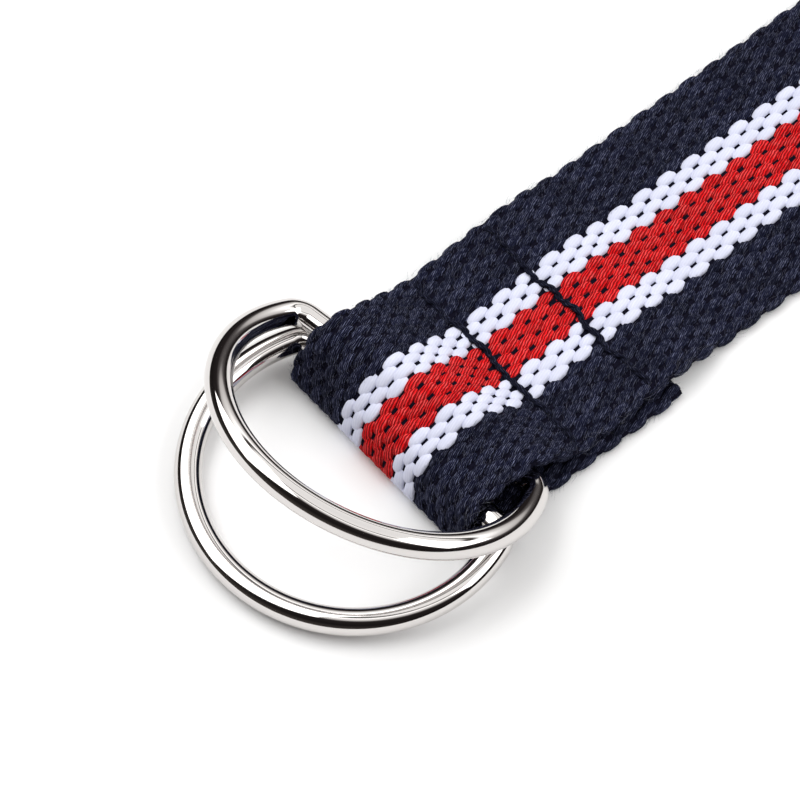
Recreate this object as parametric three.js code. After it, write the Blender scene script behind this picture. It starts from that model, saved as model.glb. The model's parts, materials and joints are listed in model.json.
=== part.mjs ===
// A woven belt strap folded through two D-shaped wire rings and sewn back on itself.
// Millimetres, +Z up. X runs along the strap with the fold towards -X, Y across it.
// The origin lies on the flat underside, under the first row of sewing.
import * as THREE from 'three';

// Strap
const strapWidth = 38;
const strapThickness = 2;
const loopLength = 23;
const secondRow = 14.2;
const tailPastRow = 4.2;
const stepLength = 11;
const stepDelay = 1;
const freeLength = 84;
const rowDent = 0.45;
const rowDentWidth = 1.5;
const foldEase = 0.6;

// Rings
const wire = 4;
const ringSideRoom = 2.8;
const ringReach = 32;
const ringFrontDepth = 22.2;
const ringCorner = 3.2;

// Clearances
const layerGap = 0.3;
const loopRoom = 0.4;
const barToFold = 1.5;
const barGap = 0.75;

// How the rings lie, in degrees: turn about Z, rise of the front, lean along the bar
const lowerRing = { turn: -0.4, lean: 1 };
const upperRing = { turn: 13, rise: 24.7, lean: -5.5 };
const upperBarAngle = 31;

// The strap leaves the upper bar at this angle round it, counted from straight below, and eases
// down to the first row; the pulls are shares of that stretch's length.
const wrapAngles = { from: 1, to: 205 };
const descentPull = { bar: 0.45, row: 0.25 };

// Sideways place of each bar's middle, as a share of the strap's width
const lowerBarSide = -0.06;
const upperBarSide = -0.004;

// Mesh fineness
const wireSides = 16;
const frontSteps = 60;
const cornerSteps = 7;
const loopSteps = 44;
const wrapSteps = 180;
const descentSteps = 40;
const stepSteps = 8;
const freeSteps = 4;

const halfThick = strapThickness / 2;
const wireRadius = wire / 2;
const rad = THREE.MathUtils.degToRad;

// Sideways shift of the strap's middle line: where along the strap, and how far as a share of its width
const sideShift = [
  { at: 'tailEnd', share: -0.058 },
  { at: 'fold', share: -0.05 },
  { at: 'bars', share: -0.066 },
  { at: 'firstRow', share: -0.03 },
  { at: 'secondRow', share: -0.012 },
  { at: 'flat', share: 0.008 },
  { at: 'freeEnd', share: 0.008 },
];

// Over the bars both edges are drawn in, by these shares of the width.
const farEdgePull = 0.024;
const nearEdgePull = 0.042;

// Ring outline

// The front is a half ellipse about frontCentre; its sides run back to the straight bar.
const ringHalfWidth = strapWidth / 2 + ringSideRoom + wireRadius;
const frontCentre = ringReach - ringFrontDepth;

function ellipsePoint(angle) {
  return new THREE.Vector2(
    frontCentre + ringFrontDepth * Math.cos(angle),
    ringHalfWidth * Math.sin(angle),
  );
}

function ellipseNormal(angle) {
  return new THREE.Vector2(
    Math.cos(angle) / ringFrontDepth,
    Math.sin(angle) / ringHalfWidth,
  ).normalize();
}

function cornerCentre(angle) {
  return ellipsePoint(angle).sub(ellipseNormal(angle).multiplyScalar(ringCorner));
}

// The corner's circle touches the side of the ellipse and the bar, which lies on u = 0.
function cornerStart() {
  let near = Math.PI / 2;
  let far = Math.PI;
  for (let step = 0; step < 50; step += 1) {
    const middle = (near + far) / 2;
    if (cornerCentre(middle).x > ringCorner) near = middle;
    else far = middle;
  }
  return (near + far) / 2;
}

function ringOutline() {
  const start = cornerStart();
  const points = [];
  for (let step = 0; step <= frontSteps; step += 1) {
    points.push(ellipsePoint(start * (2 * step / frontSteps - 1)));
  }
  const centre = cornerCentre(start);
  const normal = ellipseNormal(start);
  const from = Math.atan2(normal.y, normal.x);
  for (let step = 1; step <= cornerSteps; step += 1) {
    const angle = from + (Math.PI - from) * step / cornerSteps;
    points.push(new THREE.Vector2(
      centre.x + ringCorner * Math.cos(angle),
      centre.y + ringCorner * Math.sin(angle),
    ));
  }
  for (let step = cornerSteps; step >= 1; step -= 1) {
    const angle = from + (Math.PI - from) * step / cornerSteps;
    points.push(new THREE.Vector2(
      centre.x + ringCorner * Math.cos(angle),
      -centre.y - ringCorner * Math.sin(angle),
    ));
  }
  return points;
}

// Round wire swept once around a closed flat outline
function closedWire(outline) {
  const count = outline.length;
  const positions = [];
  const indices = [];
  outline.forEach((point, index) => {
    const before = outline[(index + count - 1) % count];
    const after = outline[(index + 1) % count];
    const outward = new THREE.Vector2(after.y - before.y, before.x - after.x).normalize();
    for (let side = 0; side < wireSides; side += 1) {
      const angle = 2 * Math.PI * side / wireSides;
      const reach = wireRadius * Math.cos(angle);
      positions.push(
        point.x + outward.x * reach,
        point.y + outward.y * reach,
        wireRadius * Math.sin(angle),
      );
    }
  });
  for (let index = 0; index < count; index += 1) {
    const next = (index + 1) % count;
    for (let side = 0; side < wireSides; side += 1) {
      const nextSide = (side + 1) % wireSides;
      const a = index * wireSides + side;
      const b = next * wireSides + side;
      const c = next * wireSides + nextSide;
      const d = index * wireSides + nextSide;
      indices.push(a, b, c, a, c, d);
    }
  }
  const geometry = new THREE.BufferGeometry();
  geometry.setAttribute('position', new THREE.Float32BufferAttribute(positions, 3));
  geometry.setIndex(indices);
  geometry.computeVertexNormals();
  return geometry;
}

// Places of the two bars

// The lower bar lies on the under layer, its low end included.
const lowerBar = new THREE.Vector3(
  -loopLength + strapThickness + barToFold + wireRadius,
  lowerBarSide * strapWidth,
  strapThickness + loopRoom + wireRadius + Math.sin(rad(lowerRing.lean)) * strapWidth / 2,
);
const upperBar = new THREE.Vector3(
  lowerBar.x + (wire + barGap) * Math.cos(rad(upperBarAngle)),
  upperBarSide * strapWidth,
  lowerBar.z + (wire + barGap) * Math.sin(rad(upperBarAngle)),
);

function ringTurn(turn, rise, lean) {
  return new THREE.Euler(rad(lean), -rise, Math.PI + rad(turn), 'ZYX');
}
const upperTurn = ringTurn(upperRing.turn, rad(upperRing.rise), upperRing.lean);

// Height of a ring's lowest point when its bar is at the given place
function lowestPoint(bar, turn) {
  const heights = ringOutline().map((point) => {
    return new THREE.Vector3(point.x, point.y, 0).applyEuler(turn).add(bar).z;
  });
  return Math.min(...heights) - wireRadius;
}

// The lower ring drops about its bar until its front lies on the floor.
function dropToFloor() {
  let high = 0;
  let low = -Math.PI / 6;
  for (let step = 0; step < 40; step += 1) {
    const middle = (high + low) / 2;
    const turn = ringTurn(lowerRing.turn, middle, lowerRing.lean);
    if (lowestPoint(lowerBar, turn) > 0) high = middle;
    else low = middle;
  }
  return high;
}
const lowerTurn = ringTurn(lowerRing.turn, dropToFloor(), lowerRing.lean);

// Where a bar's middle line passes a given place across the strap
function barAt(bar, turn, y) {
  const along = new THREE.Vector3(0, 1, 0).applyEuler(turn);
  const reach = (y - bar.y) / along.y;
  return { x: bar.x + along.x * reach, z: bar.z + along.z * reach };
}

// Strap

// The fold hugs the layers: its middle line is a half circle of this radius.
const foldRadius = halfThick + foldEase;
const topHeight = strapThickness + layerGap + halfThick;
const tailEnd = secondRow + tailPastRow;

// The strap's middle line wraps the fold and both bars as a tight band does.
function wrapPoint(circles, angle) {
  const outward = { x: -Math.sin(angle), z: -Math.cos(angle) };
  let best = null;
  circles.forEach((circle) => {
    const reach = circle.x * outward.x + circle.z * outward.z + circle.radius;
    if (best === null || reach > best.reach) best = { reach, circle };
  });
  return {
    x: best.circle.x + best.circle.radius * outward.x,
    z: best.circle.z + best.circle.radius * outward.z,
  };
}

function loopLine(y) {
  const barRadius = wireRadius + loopRoom + halfThick;
  const circles = [
    { x: -loopLength + halfThick + foldRadius, z: halfThick + foldRadius, radius: foldRadius },
    { ...barAt(lowerBar, lowerTurn, y), radius: barRadius },
    { ...barAt(upperBar, upperTurn, y), radius: barRadius },
  ];
  const line = [];
  for (let step = 0; step <= wrapSteps; step += 1) {
    line.push(wrapPoint(circles, rad(THREE.MathUtils.lerp(wrapAngles.from, wrapAngles.to, step / wrapSteps))));
  }
  const start = line[line.length - 1];
  const stretch = Math.hypot(start.x, start.z - topHeight);
  const barPull = descentPull.bar * stretch;
  const leaveAngle = rad(wrapAngles.to);
  const descent = new THREE.CubicBezierCurve(
    new THREE.Vector2(start.x, start.z),
    new THREE.Vector2(start.x - Math.cos(leaveAngle) * barPull, start.z + Math.sin(leaveAngle) * barPull),
    new THREE.Vector2(-descentPull.row * stretch, topHeight),
    new THREE.Vector2(0, topHeight),
  );
  for (let step = 1; step <= descentSteps; step += 1) {
    const point = descent.getPoint(step / descentSteps);
    line.push({ x: point.x, z: point.y });
  }
  return evenly(line, loopSteps);
}

// The same line in equal steps of length
function evenly(line, steps) {
  const lengths = [0];
  for (let index = 1; index < line.length; index += 1) {
    const run = Math.hypot(line[index].x - line[index - 1].x, line[index].z - line[index - 1].z);
    lengths.push(lengths[index - 1] + run);
  }
  const total = lengths[lengths.length - 1];
  const result = [];
  let index = 1;
  for (let step = 0; step <= steps; step += 1) {
    const wanted = total * step / steps;
    while (index < line.length - 1 && lengths[index] < wanted) index += 1;
    const share = (wanted - lengths[index - 1]) / (lengths[index] - lengths[index - 1]);
    result.push({
      x: THREE.MathUtils.lerp(line[index - 1].x, line[index].x, share),
      z: THREE.MathUtils.lerp(line[index - 1].z, line[index].z, share),
    });
  }
  return result;
}

function smooth(share) {
  const clamped = Math.min(Math.max(share, 0), 1);
  return clamped * clamped * (3 - 2 * clamped);
}

// Height of the single strap's middle line past the tail: it steps down to the floor.
function afterTail(x) {
  return THREE.MathUtils.lerp(topHeight, halfThick, smooth((x - tailEnd - stepDelay) / stepLength));
}

// Stations along the strap that do not depend on the place across it
const tailStations = [tailEnd, tailEnd * 0.5, 0, -loopLength * 0.3, -loopLength * 0.6];
const rowStations = [-1, -0.5, 0, 0.5, 1].map((share) => share * rowDentWidth);
const topStations = [
  ...rowStations.filter((x) => x > 0),
  secondRow * 0.5,
  ...rowStations.map((x) => secondRow + x),
  tailEnd,
];
const countTo = (steps) => Array.from({ length: steps }, (unused, index) => index + 1);
const stepStations = countTo(stepSteps).map((step) => tailEnd + stepDelay + stepLength * step / stepSteps);
const flatEnd = stepStations[stepStations.length - 1];
const freeStations = countTo(freeSteps).map((step) => {
  return THREE.MathUtils.lerp(flatEnd, freeLength, step / freeSteps);
});

function middleLine(y) {
  const line = tailStations.map((x) => ({ x, z: halfThick }));
  line.push(...loopLine(y));
  line.push(...topStations.map((x) => ({ x, z: topHeight })));
  line.push(...stepStations.map((x) => ({ x, z: afterTail(x) })));
  line.push(...freeStations.map((x) => ({ x, z: halfThick })));
  return line;
}

// Station numbers where the sideways shift is stated
const loopStart = tailStations.length;
const shiftStation = {
  tailEnd: 0,
  fold: loopStart + Math.round(loopSteps * 0.12),
  bars: loopStart + Math.round(loopSteps * 0.45),
  firstRow: loopStart + loopSteps,
  secondRow: loopStart + loopSteps + topStations.length - 1,
  flat: loopStart + loopSteps + topStations.length + stepStations.length,
  freeEnd: loopStart + loopSteps + topStations.length + stepStations.length + freeStations.length,
};

function shiftAt(station) {
  let index = 1;
  while (index < sideShift.length - 1 && shiftStation[sideShift[index].at] < station) index += 1;
  const from = sideShift[index - 1];
  const to = sideShift[index];
  const share = (station - shiftStation[from.at]) / (shiftStation[to.at] - shiftStation[from.at]);
  return strapWidth * THREE.MathUtils.lerp(from.share, to.share, smooth(share));
}

// The thread pulls a shallow groove into the top layer at both rows.
function dentAt(station, x) {
  if (station < loopStart + loopSteps / 2) return 0;
  const nearest = Math.min(Math.abs(x), Math.abs(x - secondRow));
  return rowDent * (1 - smooth(nearest / rowDentWidth));
}

// Places across the strap: share of its half width, and share of its thickness there
const across = [
  { place: -1, thick: 0.4 },
  { place: -0.975, thick: 0.75 },
  { place: -0.93, thick: 1 },
  { place: -0.7, thick: 1 },
  { place: -0.45, thick: 1 },
  { place: -0.2, thick: 1 },
  { place: 0, thick: 1 },
  { place: 0.2, thick: 1 },
  { place: 0.45, thick: 1 },
  { place: 0.7, thick: 1 },
  { place: 0.93, thick: 1 },
  { place: 0.975, thick: 0.75 },
  { place: 1, thick: 0.4 },
];

// Share of the pull-in at a station: full at the bars, none at the sewing and at the tail
function pullAt(station) {
  const beforeBars = station < shiftStation.bars;
  const reach = shiftStation.bars - (beforeBars ? loopStart : shiftStation.firstRow);
  return 1 - smooth(Math.abs((station - shiftStation.bars) / reach));
}

function strapSection(column) {
  const stationCount = shiftStation.freeEnd + 1;
  const outer = [];
  const inner = [];
  for (let station = 0; station < stationCount; station += 1) {
    const pull = (column.place > 0 ? farEdgePull : nearEdgePull) * strapWidth * pullAt(station);
    const y = column.place * (strapWidth / 2 - pull) + shiftAt(station);
    const line = middleLine(y);
    const before = line[Math.max(station - 1, 0)];
    const after = line[Math.min(station + 1, stationCount - 1)];
    const along = new THREE.Vector2(after.x - before.x, after.z - before.z).normalize();
    const point = line[station];
    const half = halfThick * column.thick;
    const top = half - dentAt(station, point.x);
    outer.push([point.x - along.y * top, y, point.z + along.x * top]);
    inner.push([point.x + along.y * half, y, point.z - along.x * half]);
  }
  return { outer, inner };
}

function strapGeometry() {
  const sections = across.map(strapSection);
  const stations = sections[0].outer.length;
  const positions = [];
  sections.forEach((section) => {
    section.outer.forEach((point) => positions.push(...point));
    section.inner.forEach((point) => positions.push(...point));
  });
  const indices = [];
  const vertex = (column, face, station) => (2 * column + face) * stations + station;
  const quad = (a, b, c, d) => indices.push(a, b, c, a, c, d);
  const last = sections.length - 1;
  for (let station = 0; station < stations - 1; station += 1) {
    for (let column = 0; column < last; column += 1) {
      quad(
        vertex(column, 0, station),
        vertex(column, 0, station + 1),
        vertex(column + 1, 0, station + 1),
        vertex(column + 1, 0, station),
      );
      quad(
        vertex(column, 1, station),
        vertex(column + 1, 1, station),
        vertex(column + 1, 1, station + 1),
        vertex(column, 1, station + 1),
      );
    }
    quad(vertex(0, 0, station), vertex(0, 1, station), vertex(0, 1, station + 1), vertex(0, 0, station + 1));
    quad(
      vertex(last, 0, station),
      vertex(last, 0, station + 1),
      vertex(last, 1, station + 1),
      vertex(last, 1, station),
    );
  }
  for (let column = 0; column < last; column += 1) {
    quad(vertex(column, 0, 0), vertex(column + 1, 0, 0), vertex(column + 1, 1, 0), vertex(column, 1, 0));
    const end = stations - 1;
    quad(vertex(column, 0, end), vertex(column, 1, end), vertex(column + 1, 1, end), vertex(column + 1, 0, end));
  }
  const geometry = new THREE.BufferGeometry();
  geometry.setAttribute('position', new THREE.Float32BufferAttribute(positions, 3));
  geometry.setIndex(indices);
  geometry.computeVertexNormals();
  return geometry;
}

// The piece itself

const webbing = new THREE.MeshStandardMaterial({ color: 0x1b1d2c, roughness: 0.9, metalness: 0 });
const polishedSteel = new THREE.MeshStandardMaterial({ color: 0xd9d7d3, roughness: 0.08, metalness: 1 });

function ringMesh(name, bar, turn) {
  const mesh = new THREE.Mesh(closedWire(ringOutline()), polishedSteel);
  mesh.name = name;
  mesh.position.copy(bar);
  mesh.rotation.copy(turn);
  return mesh;
}

const belt = new THREE.Group();
const strap = new THREE.Mesh(strapGeometry(), webbing);
strap.name = 'strap';
belt.add(strap);
belt.add(ringMesh('ring_lower', lowerBar, lowerTurn));
belt.add(ringMesh('ring_upper', upperBar, upperTurn));

export default belt;
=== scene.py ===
import json
import math

import bpy
import numpy as np
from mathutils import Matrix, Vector


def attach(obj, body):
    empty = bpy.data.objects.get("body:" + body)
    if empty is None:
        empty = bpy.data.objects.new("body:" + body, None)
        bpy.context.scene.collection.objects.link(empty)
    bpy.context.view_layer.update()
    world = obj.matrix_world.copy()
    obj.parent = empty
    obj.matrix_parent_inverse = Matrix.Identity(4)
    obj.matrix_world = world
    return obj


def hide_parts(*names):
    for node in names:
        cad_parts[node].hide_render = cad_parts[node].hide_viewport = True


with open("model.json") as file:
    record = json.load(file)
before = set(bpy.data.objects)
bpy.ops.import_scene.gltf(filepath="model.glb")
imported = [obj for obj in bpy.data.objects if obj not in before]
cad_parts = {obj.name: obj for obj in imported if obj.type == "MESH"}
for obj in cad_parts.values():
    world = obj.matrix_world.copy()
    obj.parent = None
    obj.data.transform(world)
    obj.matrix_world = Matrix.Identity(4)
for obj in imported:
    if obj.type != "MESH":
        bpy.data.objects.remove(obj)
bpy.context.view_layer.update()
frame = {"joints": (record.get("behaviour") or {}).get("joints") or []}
mm = 0.001
print("frame loaded")

# Shape of the strap's middle surface, in millimetres, as the solids have it.
strap = dict(
    width=38.0, halfThick=1.0, loopLength=23.0, secondRow=14.2, tailPastRow=4.2,
    stepLength=11.0, freeLength=84.0, layerGap=0.3, loopRoom=0.4, foldExtra=0.6,
    wireRadius=2.0, leaveAngle=205.0, barPull=0.45, rowPull=0.25, farPull=0.024, nearPull=0.042,
    shiftShares=(-0.058, -0.05, -0.066, -0.03, -0.012, 0.008, 0.008),
)
tailEnd = strap["secondRow"] + strap["tailPastRow"]
topHeight = 3 * strap["halfThick"] + strap["layerGap"]


def smooth(x):
    x = np.clip(x, 0.0, 1.0)
    return x * x * (3 - 2 * x)


def barAt(joint, y):
    x0, y0, z0 = [v / mm for v in joint["pos_m"]]
    ax, ay, az = joint["axis"]
    reach = (y - y0) / ay
    return x0 + ax * reach, z0 + az * reach


def loopLine(y, count):
    # The fold and both bars, wrapped as a tight band wraps them
    half = strap["halfThick"]
    foldRadius = half + strap["foldExtra"]
    barRadius = strap["wireRadius"] + strap["loopRoom"] + half
    circles = [(-strap["loopLength"] + half + foldRadius, half + foldRadius, foldRadius)]
    circles += [(*barAt(joint, y), barRadius) for joint in frame["joints"]]
    angles = np.radians(np.linspace(1, strap["leaveAngle"], 400))
    outX, outZ = -np.sin(angles), -np.cos(angles)
    reach = np.array([x * outX + z * outZ + r for x, z, r in circles])
    pick = reach.argmax(0)
    cx, cz, cr = np.array(circles).T
    lineX, lineZ = cx[pick] + cr[pick] * outX, cz[pick] + cr[pick] * outZ
    leave = math.radians(strap["leaveAngle"])
    stretch = math.hypot(lineX[-1], lineZ[-1] - topHeight)
    pull = strap["barPull"] * stretch
    knots = np.array([
        (lineX[-1], lineZ[-1]),
        (lineX[-1] - math.cos(leave) * pull, lineZ[-1] + math.sin(leave) * pull),
        (-strap["rowPull"] * stretch, topHeight),
        (0, topHeight),
    ])
    t = np.linspace(0, 1, 90)[1:, None]
    bend = ((1 - t) ** 3 * knots[0] + 3 * t * (1 - t) ** 2 * knots[1]
            + 3 * t * t * (1 - t) * knots[2] + t ** 3 * knots[3])
    line = np.concatenate([np.stack([lineX, lineZ], 1), bend])
    run = np.concatenate([[0], np.cumsum(np.linalg.norm(np.diff(line, axis=0), axis=1))])
    even = np.linspace(0, run[-1], count)
    return np.stack([np.interp(even, run, line[:, 0]), np.interp(even, run, line[:, 1])], 1)


# Sections along the strap: tail, loop, doubled part, step down, single strap
tailStart, loopStart, topStart, stepStart, freeStart, stripEnd = 0.0, 5.0, 49.0, 58.0, 66.0, 70.0
shiftAtStation = (0, 10, 25, 49, 57, 66, 70)


def buildSheet():
    loopCount = 301
    tableY = np.linspace(-24, 23, 95)
    table = np.array([loopLine(y, loopCount) for y in tableY])
    t = np.concatenate([
        np.linspace(tailStart, loopStart, 160, endpoint=False),
        np.linspace(loopStart, topStart, 330, endpoint=False),
        np.linspace(topStart, stepStart, 90, endpoint=False),
        np.linspace(stepStart, freeStart, 60, endpoint=False),
        np.linspace(freeStart, stripEnd, 220),
    ])
    places = np.linspace(-1, 1, 61)
    knotShift = np.array(strap["shiftShares"]) * strap["width"]
    index = np.clip(np.searchsorted(shiftAtStation, t, side="right") - 1, 0, len(knotShift) - 2)
    share = (t - np.take(shiftAtStation, index)) / (np.take(shiftAtStation, index + 1) - np.take(shiftAtStation, index))
    shift = knotShift[index] + (knotShift[index + 1] - knotShift[index]) * smooth(share)
    reach = np.where(t < 25, 20.0, 24.0)
    pull = 1 - smooth(np.abs(t - 25) / reach)
    grid = np.zeros((len(t), len(places), 3))
    for column, place in enumerate(places):
        edgePull = strap["farPull"] if place > 0 else strap["nearPull"]
        y = place * (strap["width"] / 2 - edgePull * strap["width"] * pull) + shift
        x = np.zeros_like(t)
        z = np.zeros_like(t)
        loopShare = np.clip((t - loopStart) / (topStart - loopStart), 0, 1) * (loopCount - 1)
        low = np.minimum(loopShare.astype(int), loopCount - 2)
        part = (loopShare - low)[:, None]
        yIndex = np.interp(y, tableY, np.arange(len(tableY)))
        yLow = np.minimum(yIndex.astype(int), len(tableY) - 2)
        yPart = (yIndex - yLow)[:, None]
        loop = ((table[yLow, low] * (1 - part) + table[yLow, low + 1] * part) * (1 - yPart)
                + (table[yLow + 1, low] * (1 - part) + table[yLow + 1, low + 1] * part) * yPart)
        inLoop = (t >= loopStart) & (t <= topStart)
        x[inLoop], z[inLoop] = loop[inLoop, 0], loop[inLoop, 1]
        tail = t < loopStart
        startX = loop[inLoop][0, 0]
        x[tail] = tailEnd + (startX - tailEnd) * t[tail] / loopStart
        z[tail] = strap["halfThick"]
        top = (t > topStart) & (t <= stepStart)
        x[top] = tailEnd * (t[top] - topStart) / (stepStart - topStart)
        z[top] = topHeight
        step = (t > stepStart) & (t <= freeStart)
        x[step] = tailEnd + (1 + strap["stepLength"]) * (t[step] - stepStart) / (freeStart - stepStart)
        drop = smooth((x[step] - tailEnd - 1) / strap["stepLength"])
        z[step] = topHeight + (strap["halfThick"] - topHeight) * drop
        free = t > freeStart
        flatEnd = tailEnd + 1 + strap["stepLength"]
        x[free] = flatEnd + (strap["freeLength"] - flatEnd) * (t[free] - freeStart) / (stripEnd - freeStart)
        z[free] = strap["halfThick"]
        grid[:, column] = np.stack([x, y, z], 1)
    middle = grid[:, len(places) // 2]
    length = np.concatenate([[0], np.cumsum(np.linalg.norm(np.diff(middle, axis=0), axis=1))])
    even = np.linspace(0, length[-1], 1400)
    evenT = np.interp(even, length, np.arange(len(t)))
    low = np.minimum(evenT.astype(int), len(t) - 2)
    part = (evenT - low)[:, None, None]
    grid = grid[low] * (1 - part) + grid[low + 1] * part
    along = np.gradient(grid, axis=0)
    across = np.gradient(grid, axis=1)
    along /= np.linalg.norm(along, axis=2, keepdims=True)
    across /= np.linalg.norm(across, axis=2, keepdims=True)
    normal = np.cross(along, across)
    # the normals are eased along the strap so that the bends have no hard corner
    kernel = np.hanning(15)
    kernel /= kernel.sum()
    padded = np.pad(normal, ((7, 7), (0, 0), (0, 0)), mode="edge")
    normal = np.stack([
        np.stack([np.convolve(padded[:, c, k], kernel, "valid") for c in range(normal.shape[1])], 1)
        for k in range(3)], 2)
    normal /= np.linalg.norm(normal, axis=2, keepdims=True)
    return dict(grid=grid, normal=normal, across=across, length=length[-1], middle=grid[:, len(places) // 2])


sheet = buildSheet()
stripLength = sheet["length"]
topOnly = np.arange(len(sheet["middle"])) > 0.4 * len(sheet["middle"])
topX = sheet["middle"][topOnly, 0]
topS = np.linspace(0, stripLength, len(sheet["middle"]))[topOnly]


def lengthAt(x):
    # strap length at a place on the top layer past the loop
    keep = topX > -8
    return float(np.interp(x, topX[keep], topS[keep]))


edgeRound = 0.9
flatHalf = strap["width"] / 2 - edgeRound
rowLengths = (lengthAt(0.0), lengthAt(strap["secondRow"]))


def sample(name, s, place):
    data = sheet[name]
    rows, columns = data.shape[:2]
    i = np.clip(s / stripLength, 0, 1) * (rows - 1)
    j = (np.clip(place, -1, 1) + 1) / 2 * (columns - 1)
    i0 = np.minimum(i.astype(int), rows - 2)
    j0 = np.minimum(j.astype(int), columns - 2)
    fi = (i - i0)[..., None]
    fj = (j - j0)[..., None]
    return ((data[i0, j0] * (1 - fi) + data[i0 + 1, j0] * fi) * (1 - fj)
            + (data[i0, j0 + 1] * (1 - fi) + data[i0 + 1, j0 + 1] * fi) * fj)


def onStrap(s, w, height, side=1):
    # s along, w across and round the edge, height from the middle surface; millimetres
    s, w, height = np.broadcast_arrays(*[np.asarray(v, float) for v in (s, w, height)])
    inside = np.clip(w, -flatHalf, flatHalf)
    over = (np.abs(w) - np.abs(inside)) / edgeRound
    place = inside / (strap["width"] / 2)
    point = sample("grid", s, place)
    normal = sample("normal", s, place) * side
    outward = sample("across", s, place) * np.sign(w)[..., None]
    turned = normal * np.cos(over)[..., None] + outward * np.sin(over)[..., None]
    result = point + turned * height[..., None]
    past = s - np.clip(s, 0, stripLength)
    result[..., 0] += np.where(s > stripLength / 2, past, -past)
    result[..., 2] = np.maximum(result[..., 2], 0.06)
    return result


def rowSink(s, w):
    # how far the sewing presses the cloth at a place on the top layer
    sink = np.zeros_like(s)
    for row in rowLengths:
        sink = np.maximum(sink, np.exp(-((s - row - rowWander(w, row)) / 0.8) ** 2))
    return sink


def rowWander(w, row):
    return 0.32 * np.sin(w * 0.41 + row) + 0.16 * np.sin(w * 1.13 + 2 * row)


def wave(seed, *values):
    # repeatable number between 0 and 1 for each set of whole numbers
    total = seed * 12.9898
    for k, value in enumerate(values):
        total = total + np.asarray(value, float) * (78.233 + 37.719 * k)
    fraction = np.sin(total) * 43758.5453
    return fraction - np.floor(fraction)


def makeMesh(name, points, faces, yarn=None, smoothFaces=True):
    mesh = bpy.data.meshes.new(name)
    mesh.vertices.add(len(points))
    mesh.vertices.foreach_set("co", (np.asarray(points, float) * mm).ravel())
    faces = np.asarray(faces)
    mesh.loops.add(faces.size)
    mesh.loops.foreach_set("vertex_index", faces.ravel())
    mesh.polygons.add(len(faces))
    mesh.polygons.foreach_set("loop_start", np.arange(0, faces.size, faces.shape[1]))
    mesh.polygons.foreach_set("use_smooth", np.full(len(faces), smoothFaces))
    if yarn is not None:
        attribute = mesh.attributes.new("yarn", "FLOAT_VECTOR", "POINT")
        attribute.data.foreach_set("vector", np.asarray(yarn, float).ravel())
    mesh.update()
    mesh.validate()
    piece = bpy.data.objects.new(name, mesh)
    bpy.context.scene.collection.objects.link(piece)
    return piece


# One warp float is a closed pillow that dives under the weft at both ends
weave = dict(
    pitch=1.148, period=4.744, phaseX=24.66, middleColumn=0.5,
    length=0.85, halfWidth=0.90, root=0.38, lean=0.07, pressed=0.34,
)
yarns = dict(
    navy=dict(columns=[*range(-16, -6), *range(8, 18)], stations=9, sides=10, top=1.06, plump=-0.03, boxy=1.0),
    white=dict(columns=[*range(-6, -2), *range(4, 8)], stations=11, sides=12, top=1.10, plump=0.05, boxy=0.78),
    red=dict(columns=[*range(-2, 4)], stations=15, sides=12, top=1.08, plump=0.01, boxy=0.9),
)


def capQuads(sides):
    # closes the end of a tube whose rings have an even number of points
    return np.array([[k, k + 1, sides - 2 - k, sides - 1 - k] for k in range(sides // 2 - 1)])


def floatPlaces(columns, side):
    phase = lengthAt(weave["phaseX"])
    places = []
    for column in columns:
        w = -(column - weave["middleColumn"]) * weave["pitch"] * side
        offset = 0.5 if column % 2 == 0 else 0.0
        first = math.floor(-phase / weave["period"]) - 1
        last = math.ceil((stripLength - phase) / weave["period"]) + 1
        for k in range(first, last + 1):
            s = phase + (k + offset + (0.5 if side < 0 else 0.0)) * weave["period"]
            if -0.5 < s - 0.1 and s < stripLength + 0.5:
                places.append((s, w, column, k))
    return np.array(places)


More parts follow.
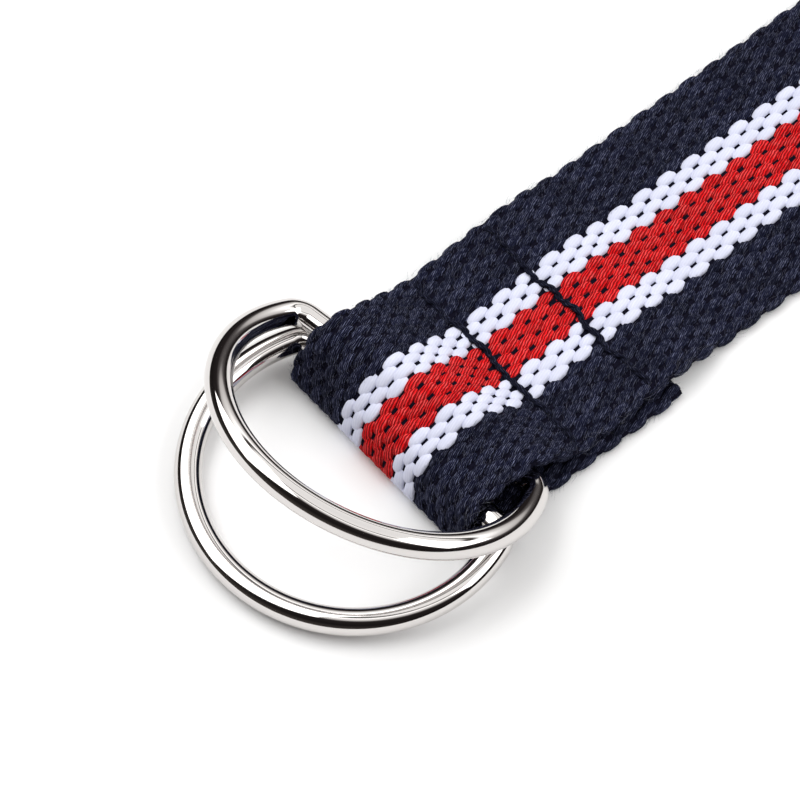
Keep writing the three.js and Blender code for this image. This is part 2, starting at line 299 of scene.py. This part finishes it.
def buildFloats(name, spec, side, stations, sides):
    places = floatPlaces(spec["columns"], side)
    s0, w0, column, k = places.T
    code = (column * 3 + k * 7).astype(int)
    half = weave["length"] * weave["period"] / 2 * (1 + 0.08 * (wave(1 + side, code, k) - 0.5))
    width = weave["halfWidth"] * (1 + spec["plump"] + 0.16 * (wave(2, code, column) - 0.5))
    top = spec["top"] * (1 + 0.07 * (wave(3, code, k + column) - 0.5))
    drift = 0.1 * (wave(4, column, k) - 0.5)
    u = -0.995 * np.cos(np.linspace(0, np.pi, stations))
    angle = np.linspace(0, 2 * np.pi, sides, endpoint=False)
    angle = angle - 0.35 * np.sin(2 * angle)
    shape = (1 - np.abs(u) ** 3.0) ** 0.5
    rise = (1 - np.abs(u) ** 3.2) ** 0.8
    U, A = np.meshgrid(u, angle, indexing="ij")
    shape = np.repeat(shape[:, None], sides, 1)
    rise = np.repeat(rise[:, None], sides, 1)
    outward = np.sign(np.sin(A)) * np.abs(np.sin(A)) ** spec["boxy"]
    upward = np.sign(np.cos(A)) * np.abs(np.cos(A)) ** spec["boxy"]
    s = s0[:, None, None] + half[:, None, None] * U[None]
    across = outward[None] * shape[None] * width[:, None, None]
    centre = w0[:, None, None] + drift[:, None, None] + weave["lean"] * U[None] * 2 * side
    w = centre + across
    lift = weave["root"] + (top[:, None, None] - weave["root"]) * rise[None] * (0.35 + 0.65 * upward[None])
    if side > 0:
        sink = rowSink(s, w0[:, None, None] + 0 * w)
        lift = lift * (1 - weave["pressed"] * sink)
        w = centre + across * (1 - 0.15 * sink)
    # cut ends: no float reaches past the strap's own ends
    s = np.clip(s, 0.0, stripLength)
    points = onStrap(s, w, lift, side)
    count = len(places)
    base = (np.arange(count) * stations * sides)[:, None, None]
    ring = np.arange(stations - 1)[:, None] * sides
    spoke = np.arange(sides)[None]
    nextSpoke = (spoke + 1) % sides
    a, b = ring + spoke, ring + nextSpoke
    c, d = ring + sides + nextSpoke, ring + sides + spoke
    caps = [capQuads(sides)[:, ::-1], capQuads(sides) + (stations - 1) * sides]
    quads = np.concatenate([np.stack([a, b, c, d], -1).reshape(-1, 4), *caps])[None] + base
    if side > 0:
        quads = quads[..., ::-1]
    yarn = np.stack([
        np.broadcast_to(U[None] * half[:, None, None], s.shape),
        across * side * 1.25,
        np.broadcast_to(wave(5, code, k)[:, None, None], s.shape),
    ], -1)
    return points.reshape(-1, 3), quads.reshape(-1, 4), yarn.reshape(-1, 3)


def node(tree, kind, **values):
    made = tree.nodes.new(kind)
    for key, value in values.items():
        if key in made.inputs:
            made.inputs[key].default_value = value
        else:
            setattr(made, key, value)
    return made


def newMaterial(name):
    material = bpy.data.materials.new(name)
    material.use_nodes = True
    tree = material.node_tree
    return material, tree, tree.nodes["Principled BSDF"]


def yarnMaterial(name, look):
    # Twisted plies run slantwise over each float; fine fibres follow them. The grooves between the plies carry painted
    # shade, and fibres on the ridges carry painted glint highlights.
    material, tree, shader = newMaterial(name)
    link = tree.links.new
    source = node(tree, "ShaderNodeAttribute", attribute_name="yarn")
    parts = node(tree, "ShaderNodeSeparateXYZ")
    link(source.outputs["Vector"], parts.inputs[0])
    slope = math.radians(look["twist"])

    def combine(kx, ky, seedShare=0.0):
        first = node(tree, "ShaderNodeMath", operation="MULTIPLY")
        first.inputs[1].default_value = kx
        link(parts.outputs["X"], first.inputs[0])
        second = node(tree, "ShaderNodeMath", operation="MULTIPLY_ADD")
        second.inputs[1].default_value = ky
        link(parts.outputs["Y"], second.inputs[0])
        link(first.outputs[0], second.inputs[2])
        third = node(tree, "ShaderNodeMath", operation="MULTIPLY_ADD")
        third.inputs[1].default_value = seedShare
        link(parts.outputs["Z"], third.inputs[0])
        link(second.outputs[0], third.inputs[2])
        return third.outputs[0]

    acrossPly = combine(-math.sin(slope) / look["plyPitch"], math.cos(slope) / look["plyPitch"], 7.0)
    alongPly = combine(math.cos(slope), math.sin(slope), 31.0)
    # the plies waver, so that no two floats look combed alike
    waver = node(tree, "ShaderNodeTexNoise", Scale=1.3, Detail=1.0)
    link(source.outputs["Vector"], waver.inputs["Vector"])
    wandering = node(tree, "ShaderNodeMath", operation="MULTIPLY_ADD")
    wandering.inputs[1].default_value = look["waver"]
    link(waver.outputs[0], wandering.inputs[0])
    link(acrossPly, wandering.inputs[2])
    turns = node(tree, "ShaderNodeMath", operation="MULTIPLY")
    turns.inputs[1].default_value = 2 * math.pi
    link(wandering.outputs[0], turns.inputs[0])
    ridge = node(tree, "ShaderNodeMath", operation="COSINE")
    link(turns.outputs[0], ridge.inputs[0])
    ridgeHalf = node(tree, "ShaderNodeMapRange")
    ridgeHalf.inputs["From Min"].default_value = -1.0
    ridgeHalf.inputs["From Max"].default_value = 0.6
    link(ridge.outputs[0], ridgeHalf.inputs["Value"])

    fibreSpace = node(tree, "ShaderNodeCombineXYZ")
    link(alongPly, fibreSpace.inputs["X"])
    link(acrossPly, fibreSpace.inputs["Y"])
    link(parts.outputs["Z"], fibreSpace.inputs["Z"])
    stretch = node(tree, "ShaderNodeVectorMath", operation="MULTIPLY")
    stretch.inputs[1].default_value = (look["fibreAlong"], look["fibreAcross"], 40.0)
    link(fibreSpace.outputs[0], stretch.inputs[0])
    fibres = node(tree, "ShaderNodeTexNoise", Scale=1.0, Detail=3.0, Roughness=0.6)
    link(stretch.outputs[0], fibres.inputs["Vector"])

    # painted shade: the grooves between the plies are coloured darker than the yarn
    shade = node(tree, "ShaderNodeMix", data_type="RGBA")
    shade.inputs["A"].default_value = (*look["groove"], 1)
    shade.inputs["B"].default_value = (*look["colour"], 1)
    link(ridgeHalf.outputs[0], shade.inputs["Factor"])
    # painted highlight: bright glints on the fibres of the ply ridges
    glint = node(tree, "ShaderNodeMapRange")
    glint.inputs["From Min"].default_value = look["glintFrom"]
    glint.inputs["From Max"].default_value = look["glintTo"]
    link(fibres.outputs["Factor"] if "Factor" in fibres.outputs else fibres.outputs["Fac"], glint.inputs["Value"])
    ridgeGlint = node(tree, "ShaderNodeMath", operation="MULTIPLY")
    link(glint.outputs[0], ridgeGlint.inputs[0])
    link(ridgeHalf.outputs[0], ridgeGlint.inputs[1])
    glintMix = node(tree, "ShaderNodeMix", data_type="RGBA")
    glintMix.inputs["B"].default_value = (*look["glint"], 1)
    link(ridgeGlint.outputs[0], glintMix.inputs["Factor"])
    link(shade.outputs["Result"], glintMix.inputs["A"])
    tone = node(tree, "ShaderNodeMapRange")
    tone.inputs["To Min"].default_value = 1 - look["vary"]
    tone.inputs["To Max"].default_value = 1 + look["vary"]
    link(parts.outputs["Z"], tone.inputs["Value"])
    toned = node(tree, "ShaderNodeVectorMath", operation="SCALE")
    link(glintMix.outputs["Result"], toned.inputs[0])
    link(tone.outputs[0], toned.inputs["Scale"])
    link(toned.outputs[0], shader.inputs["Base Color"])

    height = node(tree, "ShaderNodeMath", operation="MULTIPLY_ADD")
    height.inputs[1].default_value = look["fibreHeight"]
    link(fibres.outputs["Factor"] if "Factor" in fibres.outputs else fibres.outputs["Fac"], height.inputs[0])
    link(ridgeHalf.outputs[0], height.inputs[2])
    bump = node(tree, "ShaderNodeBump", Strength=look["bump"], Distance=look["bumpDistance"])
    link(height.outputs[0], bump.inputs["Height"])
    link(bump.outputs[0], shader.inputs["Normal"])
    shader.inputs["Roughness"].default_value = look["roughness"]
    shader.inputs["Specular IOR Level"].default_value = look["specular"]
    shader.inputs["Sheen Weight"].default_value = look["sheen"]
    shader.inputs["Sheen Roughness"].default_value = 0.5
    shader.inputs["Sheen Tint"].default_value = (*look["sheenTint"], 1)
    return material


# groove is painted shade in the ply grooves; glint is a painted highlight on the ridges
yarnLooks = dict(
    navy=dict(colour=(0.0125, 0.0146, 0.0390), groove=(0.0020, 0.0024, 0.0080), glint=(0.24, 0.26, 0.41),
              twist=24, plyPitch=0.32, waver=1.1, fibreAlong=1.2, fibreAcross=1.5, glintFrom=0.48,
              glintTo=0.80, vary=0.30, fibreHeight=0.8, bump=1.0, bumpDistance=0.00024,
              roughness=0.9, specular=0.05, sheen=0.02, sheenTint=(0.6, 0.65, 0.9)),
    white=dict(colour=(0.68, 0.70, 0.84), groove=(0.64, 0.66, 0.81), glint=(0.80, 0.82, 0.93),
               twist=20, plyPitch=0.5, waver=0.8, fibreAlong=0.8, fibreAcross=1.6, glintFrom=0.55,
               glintTo=0.8, vary=0.03, fibreHeight=0.5, bump=0.15, bumpDistance=0.00008,
               roughness=0.75, specular=0.15, sheen=0.02, sheenTint=(1, 1, 1)),
    red=dict(colour=(0.90, 0.009, 0.013), groove=(0.33, 0.002, 0.004), glint=(1.0, 0.11, 0.11),
             twist=24, plyPitch=0.50, waver=0.9, fibreAlong=0.9, fibreAcross=1.3, glintFrom=0.42,
             glintTo=0.70, vary=0.10, fibreHeight=0.6, bump=1.0, bumpDistance=0.00032,
             roughness=0.8, specular=0.10, sheen=0.0, sheenTint=(1, 0.6, 0.55)),
)


def finish(piece, material, body, slot, *nodes):
    piece.data.materials.append(material)
    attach(piece, body)
    if nodes:
        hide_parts(*nodes)
    return piece


yarnMaterials = {name: yarnMaterial("yarn_" + name, look) for name, look in yarnLooks.items()}
for name, spec in yarns.items():
    points, faces, yarn = buildFloats(name, spec, 1, spec["stations"], spec["sides"])
    finish(makeMesh("floats_" + name, points, faces, yarn), yarnMaterials[name], "strap", "webbing")
    backPoints, backFaces, backYarn = buildFloats(name, spec, -1, 6, 8)
    finish(makeMesh("floats_back_" + name, backPoints, backFaces, backYarn), yarnMaterials[name], "strap", "webbing")
print("warp floats made")

# Weft core: the dark weft seen between the floats, its colour pushed darker as painted shade in the gaps
core = dict(half=0.62, alongStep=0.8, acrossCount=45, edgeShare=0.96)


def buildCore():
    count = int(stripLength / core["alongStep"])
    s = np.linspace(0.15, stripLength - 0.15, count)
    girth = flatHalf + edgeRound * math.pi / 2 * core["edgeShare"]
    w = np.linspace(-girth, girth, core["acrossCount"])
    S, W = np.meshgrid(s, w, indexing="ij")
    outer = onStrap(S, W, np.full(S.shape, core["half"]), 1)
    inner = onStrap(S, W, np.full(S.shape, core["half"]), -1)
    points = np.concatenate([outer, inner[:, ::-1]], 1)
    rows, columns = points.shape[:2]
    a = np.arange(rows - 1)[:, None] * columns + np.arange(columns)[None]
    b = np.arange(rows - 1)[:, None] * columns + (np.arange(columns)[None] + 1) % columns
    walls = np.stack([a, a + columns, b + columns, b], -1).reshape(-1, 4)
    caps = [capQuads(columns), capQuads(columns)[:, ::-1] + (rows - 1) * columns]
    return points.reshape(-1, 3), np.concatenate([walls, *caps])


def weftMaterial():
    material, tree, shader = newMaterial("weft_thread_and_gap_shade")
    link = tree.links.new
    place = node(tree, "ShaderNodeTexCoord")
    noise = node(tree, "ShaderNodeTexNoise", Scale=2500.0, Detail=3.0)
    link(place.outputs["Object"], noise.inputs["Vector"])
    # dark navy weft colour, pushed near black as painted shade in the gaps between the floats
    ramp = node(tree, "ShaderNodeMix", data_type="RGBA")
    ramp.inputs["A"].default_value = (0.0012, 0.0012, 0.0030, 1)
    ramp.inputs["B"].default_value = (0.0100, 0.0095, 0.0210, 1)
    link(noise.outputs[0], ramp.inputs["Factor"])
    link(ramp.outputs["Result"], shader.inputs["Base Color"])
    bump = node(tree, "ShaderNodeBump", Strength=0.6, Distance=0.0001)
    link(noise.outputs[0], bump.inputs["Height"])
    link(bump.outputs[0], shader.inputs["Normal"])
    shader.inputs["Roughness"].default_value = 0.95
    shader.inputs["Specular IOR Level"].default_value = 0.03
    return material


corePoints, coreFaces = buildCore()
corePiece = makeMesh("weft_core", corePoints, coreFaces)
finish(corePiece, weftMaterial(), "strap", "webbing", "strap")
print("weft core made")

# Sewing thread
sewing = dict(strandRadius=0.30, twistRadius=0.23, twistPitch=3.1, stitch=4.7, high=1.12, low=0.45,
              bury=0.30, edge=17.6, step=0.16, sides=8)


def threadPoints(row):
    w = np.arange(-sewing["edge"], sewing["edge"], sewing["step"])
    cycle = (w + row) / sewing["stitch"]
    hump = np.abs(np.sin(np.pi * cycle)) ** 0.55
    # the thread pulls deeper into the plain bands at both sides
    high = sewing["high"] - sewing["bury"] * smooth((np.abs(w) - 7.5) / 3)
    height = sewing["low"] + (high - sewing["low"]) * hump
    s = row + rowWander(w, row) + 0.12 * np.sin(2 * np.pi * cycle)
    return s, w, height


def sweep(path, radius, sides):
    path = np.asarray(path)
    ahead = np.gradient(path, axis=0)
    ahead /= np.linalg.norm(ahead, axis=1, keepdims=True)
    reference = np.array([0.13, 0.21, 0.97])
    first = np.cross(ahead, reference)
    first /= np.linalg.norm(first, axis=1, keepdims=True)
    second = np.cross(ahead, first)
    angle = np.linspace(0, 2 * np.pi, sides, endpoint=False)
    radius = np.broadcast_to(np.asarray(radius, float), (len(path),))
    rings = (path[:, None] + radius[:, None, None]
             * (np.cos(angle)[None, :, None] * first[:, None] + np.sin(angle)[None, :, None] * second[:, None]))
    count = len(path)
    a = np.arange(count - 1)[:, None] * sides + np.arange(sides)[None]
    b = np.arange(count - 1)[:, None] * sides + (np.arange(sides)[None] + 1) % sides
    walls = np.stack([a, b, b + sides, a + sides], -1).reshape(-1, 4)
    caps = [capQuads(sides)[:, ::-1], capQuads(sides) + (count - 1) * sides]
    return rings.reshape(-1, 3), np.concatenate([walls, *caps])


def buildThread(side):
    allPoints, allFaces, allYarn = [], [], []
    offset = 0
    for row in rowLengths:
        s, w, height = threadPoints(row)
        if side < 0:
            s = lengthOfTail(row) - (s - row)
        for strand in (0, 1):
            turn = 2 * np.pi * w / sewing["twistPitch"] + np.pi * strand
            path = onStrap(
                s + sewing["twistRadius"] * np.cos(turn), w,
                height + sewing["twistRadius"] * 0.8 * np.sin(turn), 1)
            path[:, 2] = np.maximum(path[:, 2], sewing["strandRadius"] + 0.03)
            path = np.concatenate([path[:1] * 1.0, path, path[-1:] * 1.0])
            radius = np.full(len(path), sewing["strandRadius"])
            radius[0] = radius[-1] = 0.01
            path[0] = path[1] + (path[1] - path[2]) * 0.6
            path[-1] = path[-2] + (path[-2] - path[-3]) * 0.6
            rings, quads = sweep(path, radius, sewing["sides"])
            arc = np.concatenate([[0], np.cumsum(np.linalg.norm(np.diff(path, axis=0), axis=1))])
            around = np.linspace(0, 2 * np.pi * sewing["strandRadius"], sewing["sides"], endpoint=False)
            yarn = np.stack([
                np.repeat(arc[:, None], sewing["sides"], 1),
                np.repeat(around[None], len(path), 0),
                np.full((len(path), sewing["sides"]), 0.3 + 0.4 * strand),
            ], -1)
            allPoints.append(rings)
            allFaces.append(quads + offset)
            allYarn.append(yarn.reshape(-1, 3))
            offset += len(rings)
    return np.concatenate(allPoints), np.concatenate(allFaces), np.concatenate(allYarn)


def lengthOfTail(row):
    # the under layer runs the other way: its length there, below a place on the top layer
    x = 0.0 if row == rowLengths[0] else strap["secondRow"]
    return tailEnd - x


# the thread's groove and glint colours are painted shade and painted highlight, as on the floats
threadLook = dict(yarnLooks["navy"], colour=(0.0075, 0.0085, 0.022), groove=(0.0025, 0.003, 0.008),
                  glint=(0.10, 0.11, 0.20), plyPitch=0.3, twist=28, roughness=0.8, specular=0.06,
                  fibreAlong=1.0, fibreAcross=2.4, vary=0.05)
threadMaterial = yarnMaterial("sewing_thread", threadLook)
for side, name in ((1, "sewing_top"), (-1, "sewing_under")):
    points, faces, yarn = buildThread(side)
    finish(makeMesh(name, points, faces, yarn), threadMaterial, "strap", "webbing")
print("sewing made")

# Loose fibres; the light grey of the fuzz and edge hairs is painted highlight on navy hairs catching the light
fibres = dict(seed=7, fuzz=6800, edge=1000, tail=260, radius=0.014, bare=(19.0, 1.0))


def buildFibres(count, kind):
    random = np.random.default_rng(fibres["seed"] + len(kind))
    points, faces = [], []
    offset = 0
    navyHalf = (7.0 * weave["pitch"], flatHalf + 0.8)
    barZone = (rowLengths[0] - fibres["bare"][0], rowLengths[0] - fibres["bare"][1])
    for _ in range(count):
        s = random.uniform(2, stripLength - 1)
        sign = random.choice((-1, 1))
        if kind == "fuzz":
            w = sign * random.uniform(*navyHalf)
            size = random.uniform(0.35, 1.0)
            slope = math.radians(random.normal(34, 14))
            lift = random.uniform(0.98, 1.1)
            bow = random.uniform(0.0, 0.10)
            t = np.linspace(-0.5, 0.5, 4)
            path = onStrap(s + t * size * math.cos(slope), w + t * size * math.sin(slope),
                           lift + bow * (1 - 4 * t * t) - 0.12 * (4 * t * t), 1)
        elif kind == "tail":
            # the cut end of the under layer frays
            w = random.uniform(-flatHalf, flatHalf)
            size = random.uniform(0.4, 1.3)
            slope = random.uniform(-0.5, 0.5)
            t = np.linspace(0, 1, 6)
            path = onStrap(0 * t + 0.3, w + t * size * slope, random.uniform(-0.6, 0.7) + 0 * t, 1)
            path[:, 0] += t * size
            path[:, 2] = np.maximum(path[:, 2] + 0.25 * size * np.sin(3 * t + w), 0.06)
        else:
            w = sign * random.uniform(flatHalf - 0.2, flatHalf + edgeRound * 1.9)
            size = random.uniform(0.4, 1.5) if random.uniform() < 0.93 else random.uniform(1.5, 3.0)
            if barZone[0] < s < barZone[1]:
                # the raised ring brushes the edges here
                continue
            slope = math.radians(random.uniform(-70, 70))
            rise = random.uniform(0.1, 0.8)
            t = np.linspace(0, 1, 6)
            path = onStrap(s + t * size * math.cos(slope), w + sign * t * size * 0.35 * math.sin(slope),
                           0.85 + t * rise * size + 0.2 * np.sin(3 * t + s), 1)
        radius = fibres["radius"] * random.uniform(0.7, 1.3) * np.linspace(1, 0.5, len(path))
        rings, quads = sweep(path, radius, 4)
        points.append(rings)
        faces.append(quads + offset)
        offset += len(rings)
    return np.concatenate(points), np.concatenate(faces)


def fibreMaterial(name, colour):
    material, tree, shader = newMaterial(name)
    place = node(tree, "ShaderNodeTexCoord")
    noise = node(tree, "ShaderNodeTexNoise", Scale=900.0)
    tree.links.new(place.outputs["Object"], noise.inputs["Vector"])
    mix = node(tree, "ShaderNodeMix", data_type="RGBA")
    mix.inputs["A"].default_value = (*[c * 0.35 for c in colour], 1)
    mix.inputs["B"].default_value = (*colour, 1)
    tree.links.new(noise.outputs[0], mix.inputs["Factor"])
    tree.links.new(mix.outputs["Result"], shader.inputs["Base Color"])
    shader.inputs["Roughness"].default_value = 0.6
    return material


# fuzz and edge colours: navy hairs coloured light grey as painted highlight; the frayed tail keeps a dark navy
for kind, colour in (("fuzz", (0.17, 0.18, 0.26)), ("edge", (0.24, 0.25, 0.31)), ("tail", (0.05, 0.055, 0.10))):
    points, faces = buildFibres(fibres[kind], kind)
    finish(makeMesh("fibres_" + kind, points, faces), fibreMaterial("fibre_" + kind, colour), "strap", "webbing")
print("loose fibres made")

# Rings
steel = dict(colour=(0.655, 0.63, 0.615), roughness=0.05, scratchScale=1800.0)


def steelMaterial():
    material, tree, shader = newMaterial("polished_steel")
    link = tree.links.new
    place = node(tree, "ShaderNodeTexCoord")
    noise = node(tree, "ShaderNodeTexNoise", Scale=steel["scratchScale"], Detail=2.0)
    link(place.outputs["Object"], noise.inputs["Vector"])
    rough = node(tree, "ShaderNodeMapRange")
    rough.inputs["To Min"].default_value = steel["roughness"] * 0.7
    rough.inputs["To Max"].default_value = steel["roughness"] * 1.6
    link(noise.outputs[0], rough.inputs["Value"])
    link(rough.outputs[0], shader.inputs["Roughness"])
    soft = node(tree, "ShaderNodeTexNoise", Scale=160.0, Detail=1.0)
    link(place.outputs["Object"], soft.inputs["Vector"])
    bump = node(tree, "ShaderNodeBump", Strength=0.05, Distance=0.0002)
    link(soft.outputs[0], bump.inputs["Height"])
    link(bump.outputs[0], shader.inputs["Normal"])
    shader.inputs["Base Color"].default_value = (*steel["colour"], 1)
    shader.inputs["Metallic"].default_value = 1.0
    return material


# Half an ellipse at the front, a rounded corner at each side and a straight bar
ringShape = dict(halfWidth=23.8, reach=32.0, frontDepth=22.2, corner=3.2, wireRadius=2.0, sides=40)
ringLie = dict(
    ring_lower=dict(body="lower_ring", turn=-0.4, rise=None, lean=1.0),
    ring_upper=dict(body="upper_ring", turn=13.0, rise=24.7, lean=-5.5),
)


def ringOutline():
    deep, wide, corner = ringShape["frontDepth"], ringShape["halfWidth"], ringShape["corner"]
    centre = ringShape["reach"] - deep

    def cornerCentre(angle):
        slope = np.array([math.cos(angle) / deep, math.sin(angle) / wide])
        slope /= np.linalg.norm(slope)
        return np.array([centre + deep * math.cos(angle), wide * math.sin(angle)]) - corner * slope, slope

    near, far = math.pi / 2, math.pi
    for _ in range(50):
        middle = (near + far) / 2
        if cornerCentre(middle)[0][0] > corner:
            near = middle
        else:
            far = middle
    start = (near + far) / 2
    middle, slope = cornerCentre(start)
    angles = np.linspace(-start, start, 260)
    front = np.stack([centre + deep * np.cos(angles), wide * np.sin(angles)], 1)
    turns = np.linspace(math.atan2(slope[1], slope[0]), math.pi, 22)[1:]
    bend = np.stack([middle[0] + corner * np.cos(turns), middle[1] + corner * np.sin(turns)], 1)
    bar = np.stack([np.zeros(22), np.linspace(middle[1], -middle[1], 24)[1:-1]], 1)
    return np.concatenate([front, bend, bar, (bend * [1, -1])[::-1]])


def ringTurn(turn, rise, lean):
    aboutZ, aboutY, aboutX = math.radians(180 + turn), math.radians(-rise), math.radians(lean)
    turned = np.array([[math.cos(aboutZ), -math.sin(aboutZ), 0], [math.sin(aboutZ), math.cos(aboutZ), 0], [0, 0, 1]])
    raised = np.array([[math.cos(aboutY), 0, math.sin(aboutY)], [0, 1, 0], [-math.sin(aboutY), 0, math.cos(aboutY)]])
    leaned = np.array([[1, 0, 0], [0, math.cos(aboutX), -math.sin(aboutX)], [0, math.sin(aboutX), math.cos(aboutX)]])
    return turned @ raised @ leaned


def buildRing(lie, joint):
    outline = ringOutline()
    flat = np.column_stack([outline, np.zeros(len(outline))])
    place = np.array(joint["pos_m"]) / mm
    rise = lie["rise"]
    if rise is None:
        # this ring drops about its bar until its front lies on the floor
        high, low = 0.0, -30.0
        for _ in range(40):
            rise = (high + low) / 2
            lowest = (flat @ ringTurn(lie["turn"], rise, lie["lean"]).T + place)[:, 2].min()
            if lowest > ringShape["wireRadius"]:
                high = rise
            else:
                low = rise
    turn = ringTurn(lie["turn"], rise, lie["lean"])
    ahead = np.roll(flat, -1, 0) - np.roll(flat, 1, 0)
    ahead /= np.linalg.norm(ahead, axis=1, keepdims=True)
    outward = np.stack([ahead[:, 1], -ahead[:, 0], np.zeros(len(flat))], 1)
    angle = np.linspace(0, 2 * np.pi, ringShape["sides"], endpoint=False)
    tube = flat[:, None] + ringShape["wireRadius"] * (
        np.cos(angle)[None, :, None] * outward[:, None]
        + np.sin(angle)[None, :, None] * np.array([0, 0, 1.0]))
    points = tube.reshape(-1, 3) @ turn.T + place
    sides = ringShape["sides"]
    first = np.arange(len(flat))[:, None] * sides
    following = (np.arange(len(flat))[:, None] + 1) % len(flat) * sides
    spoke = np.arange(sides)[None]
    nextSpoke = (spoke + 1) % sides
    faces = np.stack([first + spoke, following + spoke, following + nextSpoke, first + nextSpoke], -1)
    return points, faces.reshape(-1, 4)


ringMaterial = steelMaterial()
for nodeName, lie in ringLie.items():
    joint = next(item for item in frame["joints"] if item["child"] == lie["body"])
    points, faces = buildRing(lie, joint)
    ring = makeMesh("wire_" + nodeName, points, faces)
    finish(ring, ringMaterial, lie["body"], "polished_steel", nodeName)
print("rings made")

# Floor, lights, camera
studio = dict(floorSize=4.0, floorColour=(0.95, 0.95, 0.95), keyPower=12.0, fillPower=6.0)

bpy.ops.mesh.primitive_plane_add(size=studio["floorSize"], location=(0.02, 0, 0))
floor = bpy.context.object
floor.name = "floor"
floorMaterial, floorTree, floorShader = newMaterial("floor_paper")
floorShader.inputs["Base Color"].default_value = (*studio["floorColour"], 1)
floorShader.inputs["Roughness"].default_value = 0.9
floorShader.inputs["Specular IOR Level"].default_value = 0.1
floor.data.materials.append(floorMaterial)


def areaLight(name, place, aim, size, power, colour=(1, 1, 1)):
    data = bpy.data.lights.new(name, "AREA")
    data.shape = "RECTANGLE"
    data.size, data.size_y = size
    data.energy = power
    data.color = colour
    light = bpy.data.objects.new(name, data)
    light.location = place
    light.rotation_euler = (Vector(aim) - Vector(place)).to_track_quat("-Z", "Y").to_euler()
    bpy.context.scene.collection.objects.link(light)
    return light


areaLight("key", (-0.35, 0.65, 0.95), (0, 0, 0), (1.3, 1.1), studio["keyPower"])
areaLight("fill", (0.6, -0.8, 0.8), (0, 0, 0), (1.0, 0.8), studio["fillPower"])

# The room: bright cards overhead and behind, dark towards the front and to the left
room = dict(front=(-0.647, -0.763, 0.0), right=(0.763, -0.647, 0.0), frontPull=-0.28, rightPull=0.40, strength=1.1)
bands = (
    (-0.40, (0.06, 0.052, 0.048)), (0.15, (0.012, 0.010, 0.010)), (0.60, (0.022, 0.018, 0.018)),
    (0.69, (0.12, 0.11, 0.11)), (0.73, (0.60, 0.58, 0.57)), (0.82, (0.95, 0.94, 0.93)),
    (0.885, (1.6, 1.6, 1.6)), (0.905, (1.6, 1.6, 1.6)), (0.925, (0.05, 0.045, 0.04)),
    (0.95, (0.05, 0.045, 0.04)), (0.97, (1.15, 1.14, 1.13)), (1.15, (1.0, 1.0, 1.0)),
    (1.20, (0.40, 0.39, 0.38)), (1.30, (1.1, 1.1, 1.1)),
)
world = bpy.data.worlds.new("studio")
world.use_nodes = True
bpy.context.scene.world = world
worldTree = world.node_tree
background = worldTree.nodes["Background"]
coordinates = node(worldTree, "ShaderNodeTexCoord")
aim = node(worldTree, "ShaderNodeVectorMath", operation="DOT_PRODUCT")
aim.inputs[1].default_value = [
    room["frontPull"] * a + room["rightPull"] * b + c
    for a, b, c in zip(room["front"], room["right"], (0.0, 0.0, 1.0))
]
worldTree.links.new(coordinates.outputs["Generated"], aim.inputs[0])
spread = node(worldTree, "ShaderNodeMapRange")
spread.inputs["From Min"].default_value = bands[0][0]
spread.inputs["From Max"].default_value = bands[-1][0]
worldTree.links.new(aim.outputs["Value"], spread.inputs["Value"])
ramp = node(worldTree, "ShaderNodeValToRGB")
while len(ramp.color_ramp.elements) < len(bands):
    ramp.color_ramp.elements.new(0.5)
for element, (position, colour) in zip(ramp.color_ramp.elements, bands):
    element.position = (position - bands[0][0]) / (bands[-1][0] - bands[0][0])
    element.color = (*colour, 1)
worldTree.links.new(spread.outputs[0], ramp.inputs[0])
worldTree.links.new(ramp.outputs[0], background.inputs["Color"])
background.inputs["Strength"].default_value = room["strength"]

view = dict(eye=(-0.234188, -0.256764, 0.540010), back=(-0.346567, -0.408658, 0.844328), lens=202.95)
cameraData = bpy.data.cameras.new("camera")
cameraData.lens = view["lens"]
cameraData.sensor_width = 36.0
cameraData.clip_start = 0.01
camera = bpy.data.objects.new("camera", cameraData)
camera.location = view["eye"]
camera.rotation_euler = Vector(view["back"]).to_track_quat("Z", "Y").to_euler()
bpy.context.scene.collection.objects.link(camera)
bpy.context.scene.camera = camera
bpy.context.scene.view_settings.view_transform = "Standard"
print("floor, lights and camera set")

print("scene finished")
